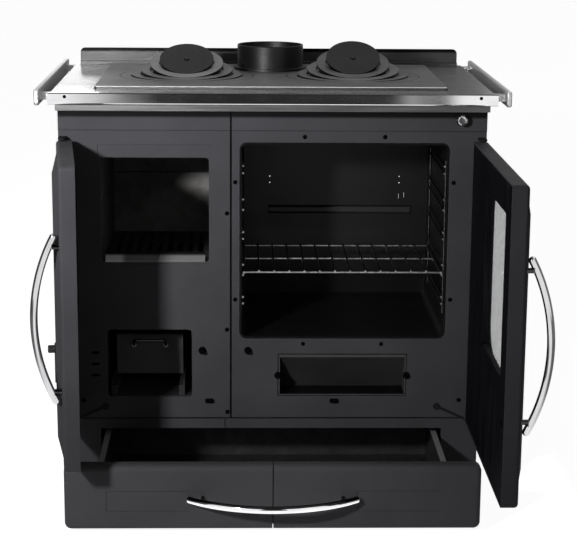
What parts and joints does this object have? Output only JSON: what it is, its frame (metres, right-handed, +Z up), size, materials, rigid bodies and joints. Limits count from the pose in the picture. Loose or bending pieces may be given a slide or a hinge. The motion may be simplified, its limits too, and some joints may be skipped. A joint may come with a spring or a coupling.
{
  "type": "wood cookstove",
  "caption": "Wood-burning kitchen range with a firebox, a side-by-side oven with a glazed door, a fuel drawer and a hot plate with lift-out rings.",
  "frame": {"origin": "on the floor, under the middle of the stove's body", "axes": "+Z up along the flue collar, -Y towards the cook at the doors, +X to the cook's right"},
  "size_m": [0.9749, 1.1325, 0.9383],
  "materials": {
    "charcoal_steel": "satin",
    "black_enamel": "gloss",
    "black_steel": "matte",
    "ground_iron": "satin",
    "plain_steel": "satin",
    "chrome": "polished",
    "window_glass": "clear",
    "firebrick": "matte",
    "rope_seal": "matte"
  },
  "bodies": {
    "stove_body": {"base_pan": "black_enamel", "left_side_panel": "charcoal_steel", "right_side_panel": "charcoal_steel", "back_panel": "black_steel", "bay_ceiling": "black_steel", "firebox_front_plate": "charcoal_steel", "oven_front_plate": "charcoal_steel", "bay_frame": "charcoal_steel", "plate_screws": "black_steel", "door_catches": "black_steel", "hinge_brackets": "black_steel", "firebox_shell": "black_steel", "firebricks": "firebrick", "fire_grate": "ground_iron", "firebox_sill": "plain_steel", "ash_chamber": "black_steel", "oven_box": "black_enamel", "oven_opening_seal": "rope_seal", "oven_side_racks": "chrome", "smoke_baffle": "black_steel", "cooktop_subframe": "charcoal_steel", "cooktop_frame": "plain_steel", "hot_plate": "ground_iron", "front_rail": "chrome", "left_side_rail": "chrome", "right_side_rail": "chrome", "rail_fixings": "chrome", "backsplash": "charcoal_steel", "flue_collar": "ground_iron", "drawer_runners": "black_steel"},
    "damper": {"damper_knob": "chrome", "damper_gate": "black_steel"},
    "left_door": {"left_door_panel": "charcoal_steel", "left_door_liner": "black_enamel", "left_door_gasket": "rope_seal", "left_door_handle": "chrome"},
    "air_regulator_disc": {"air_regulator": "black_enamel"},
    "right_door": {"right_door_panel": "charcoal_steel", "right_door_liner": "black_enamel", "oven_window": "window_glass", "right_door_handle": "chrome"},
    "drawer": {"drawer_front_left": "charcoal_steel", "drawer_front_right": "charcoal_steel", "drawer_box": "plain_steel", "drawer_handle": "chrome"},
    "ash_pan_body": {"ash_pan": "black_steel", "ash_pan_pull": "chrome"},
    "rack": {"oven_rack": "chrome"},
    "soot_cover_body": {"soot_cover": "charcoal_steel", "soot_thumbscrews": "black_steel"},
    "left_outer_ring_body": {"left_outer_ring": "ground_iron"},
    "left_large_ring_body": {"left_large_ring": "ground_iron"},
    "left_middle_ring_body": {"left_middle_ring": "ground_iron"},
    "left_small_ring_body": {"left_small_ring": "ground_iron"},
    "left_lid_body": {"left_lid": "ground_iron"},
    "right_outer_ring_body": {"right_outer_ring": "ground_iron"},
    "right_large_ring_body": {"right_large_ring": "ground_iron"},
    "right_middle_ring_body": {"right_middle_ring": "ground_iron"},
    "right_small_ring_body": {"right_small_ring": "ground_iron"},
    "right_lid_body": {"right_lid": "ground_iron"}
  },
  "joints": [
    {"name": "left_door_hinge", "type": "hinge", "parent": "stove_body", "child": "left_door", "pos_m": [-0.427, -0.304, 0.46], "axis": [0, 0, -1], "range_deg": [-83.6, 26.4]},
    {"name": "right_door_hinge", "type": "hinge", "parent": "stove_body", "child": "right_door", "pos_m": [0.427, -0.304, 0.46], "axis": [0, 0, 1], "range_deg": [-90, 30]},
    {"name": "drawer_slide", "type": "slide", "parent": "stove_body", "child": "drawer", "axis": [0, -1, 0], "range_m": [-0.199, 0.14]},
    {"name": "ash_pan_slide", "type": "slide", "parent": "stove_body", "child": "ash_pan_body", "axis": [0, -1, 0], "range_m": [0, 0.28]},
    {"name": "oven_rack_slide", "type": "slide", "parent": "stove_body", "child": "rack", "axis": [0, -1, 0], "range_m": [0, 0.25]},
    {"name": "soot_cover_pull", "type": "slide", "parent": "stove_body", "child": "soot_cover_body", "axis": [0, -1, 0], "range_m": [0, 0.12]},
    {"name": "damper_slide", "type": "slide", "parent": "stove_body", "child": "damper", "axis": [0, -1, 0], "range_m": [0, 0.1]},
    {"name": "air_regulator_turn", "type": "hinge", "parent": "left_door", "child": "air_regulator_disc", "pos_m": [-0.42827, -0.46313, 0.345], "axis": [-0.9938, -0.1115, 0], "range_deg": [-50, 0]},
    {"name": "left_outer_ring_tilt", "type": "hinge", "parent": "stove_body", "child": "left_outer_ring_body", "pos_m": [-0.1835, -0.149, 0.866], "axis": [1, 0, 0], "range_deg": [0, 12]},
    {"name": "left_large_ring_tilt", "type": "hinge", "parent": "left_outer_ring_body", "child": "left_large_ring_body", "pos_m": [-0.1835, -0.125, 0.866], "axis": [1, 0, 0], "range_deg": [-1.8, 12]},
    {"name": "left_middle_ring_tilt", "type": "hinge", "parent": "left_large_ring_body", "child": "left_middle_ring_body", "pos_m": [-0.1835, -0.10441, 0.86665], "axis": [1, 0, 0], "range_deg": [-5.8, 12]},
    {"name": "left_small_ring_tilt", "type": "hinge", "parent": "left_middle_ring_body", "child": "left_small_ring_body", "pos_m": [-0.1835, -0.08399, 0.86937], "axis": [1, 0, 0], "range_deg": [-10.8, 12]},
    {"name": "left_lid_tilt", "type": "hinge", "parent": "left_small_ring_body", "child": "left_lid_body", "pos_m": [-0.1835, -0.06444, 0.87587], "axis": [1, 0, 0], "range_deg": [-9.4, 12]},
    {"name": "right_outer_ring_tilt", "type": "hinge", "parent": "stove_body", "child": "right_outer_ring_body", "pos_m": [0.1775, -0.149, 0.866], "axis": [1, 0, 0], "range_deg": [0, 12]},
    {"name": "right_large_ring_tilt", "type": "hinge", "parent": "right_outer_ring_body", "child": "right_large_ring_body", "pos_m": [0.1775, -0.125, 0.866], "axis": [1, 0, 0], "range_deg": [-2.4, 12]},
    {"name": "right_middle_ring_tilt", "type": "hinge", "parent": "right_large_ring_body", "child": "right_middle_ring_body", "pos_m": [0.1775, -0.10442, 0.86686], "axis": [1, 0, 0], "range_deg": [-6.2, 12]},
    {"name": "right_small_ring_tilt", "type": "hinge", "parent": "right_middle_ring_body", "child": "right_small_ring_body", "pos_m": [0.1775, -0.08405, 0.86994], "axis": [1, 0, 0], "range_deg": [-10.4, 12]},
    {"name": "right_lid_tilt", "type": "hinge", "parent": "right_small_ring_body", "child": "right_lid_body", "pos_m": [0.1775, -0.06457, 0.87665], "axis": [1, 0, 0], "range_deg": [-13, 12]}
  ]
}
